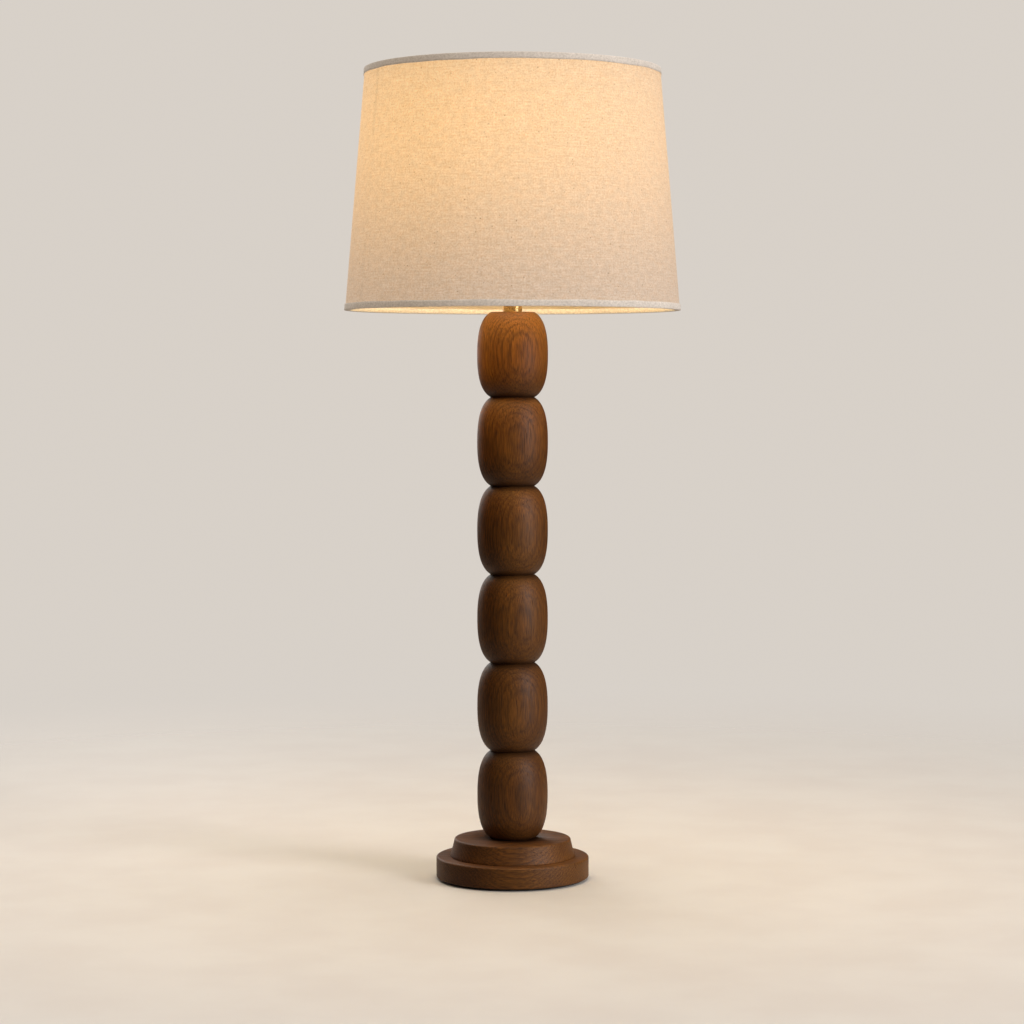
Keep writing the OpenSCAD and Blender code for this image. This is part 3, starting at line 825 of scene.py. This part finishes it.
def make_bulb_light():
    """The light that the frosted globe gives off, from a ball of light inside it."""
    light = bpy.data.lights.new("bulb light", "POINT")
    light.energy = BULB_WATTS
    light.color = BULB_COLOUR
    light.shadow_soft_size = 0.97 * globe_radius
    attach(add_lamp("bulb_light", light, globe_centre), "bulb")
    for node in ("bulb_glass", "bulb_stem"):
        nodes[node].visible_shadow = False
    nodes["bulb_glass"].visible_diffuse = False


def make_spill_light():
    """The soft light that the shade's lining sends down on the column, from a disc in the shade's mouth."""
    light = bpy.data.lights.new("light out of the shade", "AREA")
    light.shape = "DISK"
    light.size = 2 * (shade_bottom_radius - 20 * MM)
    light.energy = SPILL_WATTS
    light.color = SPILL_COLOUR
    lamp = add_lamp("shade_spill", light, (0, 0, shade_bottom + 8 * MM))
    lamp.visible_camera = False
    lamp.visible_glossy = False
    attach(lamp, "shade")


def make_camera():
    """Above the middle of the lamp, looking a little down, as a long portrait lens sees it."""
    data = bpy.data.cameras.new("camera")
    data.sensor_width = 36.0
    data.lens = 95.1
    camera = bpy.data.objects.new("camera", data)
    camera.location = (-0.0005, -2.54, 0.471)
    tilt = math.radians(2.805)
    camera.rotation_euler = (math.pi / 2 - tilt, 0, 0)
    bpy.context.scene.collection.objects.link(camera)
    bpy.context.scene.camera = camera


# ---------------------------------------------------------------- the lamp

make_camera()
make_world()
make_floor()
make_light("window", (2.6, -1.75, 1.2), (0, 0, 0.45), size=(1.1, 2.4), power=74.0, colour=(0.96, 0.97, 1.0))
make_light("ceiling", (0.2, 0.2, 2.6), (0, 0, 0), size=(2.2, 2.2), power=34.0, colour=(1.0, 0.96, 0.9))
make_light("wall", (-1.2, 2.3, 1.3), (0, 0, 0.4), size=(1.8, 2.0), power=26.0, colour=(1.0, 0.97, 0.93))
make_bulb_light()
make_spill_light()
bpy.context.scene.view_settings.view_transform = "Standard"

make_beads(walnut("walnut, upright grain", upright=True))
make_base(walnut("walnut, level grain", upright=False))
felt_disc = make_felt(felt())

tape_cloth = tape()
linen_cover = make_linen(linen())
make_liner(liner())
top_tape = make_tape("top_tape", shade_top, 1, "shade_top_trim", tape_cloth)
bottom_tape = make_tape("bottom_tape", shade_bottom, -1, "shade_bottom_trim", tape_cloth)

paint(lit_glass(), "bulb_glass")
white_paint = ((0.80, 0.79, 0.75), (0.70, 0.69, 0.66), 0.4)
paint(moulded("white powder coat", *white_paint), "spider_hub", "spider_frame")
paint(moulded("white wire", *white_paint), "shade_bottom_ring")
paint(
    metal("satin brass", (0.80, 0.56, 0.25), (0.66, 0.43, 0.17), 0.3),
    "neck",
    "harp_saddle",
    "socket_cap",
    "socket_shell",
    "harp",
    "harp_stud",
    "finial",
    "sleeve_left",
    "sleeve_right",
    "bottom_nut",
    "terminal_screws",
    "centre_contact",
    "bulb_contact",
)
paint(
    metal("zinc plate", (0.62, 0.62, 0.62), (0.48, 0.48, 0.49), 0.36),
    "bottom_washer",
    "lamp_pipe",
    "cap_set_screw",
    "switch_shaft",
)
paint(metal("bright aluminium", (0.80, 0.80, 0.81), (0.68, 0.68, 0.69), 0.25), "bulb_cap", "screw_shell")
paint(moulded("cast iron", (0.05, 0.05, 0.052), (0.11, 0.11, 0.11), 0.62, 420.0, 0.3 * MM), "base_weight")
paint(
    moulded("black phenolic", (0.012, 0.011, 0.010), (0.03, 0.027, 0.025), 0.35),
    "switch_knob",
    "socket_interior",
)
paint(moulded("black glass", (0.010, 0.010, 0.012), (0.02, 0.02, 0.022), 0.2), "bulb_insulator")
paint(
    moulded("pressed fibre", (0.035, 0.032, 0.028), (0.07, 0.064, 0.056), 0.75, 600.0, 0.1 * MM),
    "socket_insulator",
)
paint(moulded("rubber", (0.015, 0.015, 0.015), (0.03, 0.03, 0.029), 0.7), "cord_grommet")
paint(moulded("clear stem", (0.8, 0.78, 0.74), (0.7, 0.68, 0.64), 0.2), "bulb_stem")
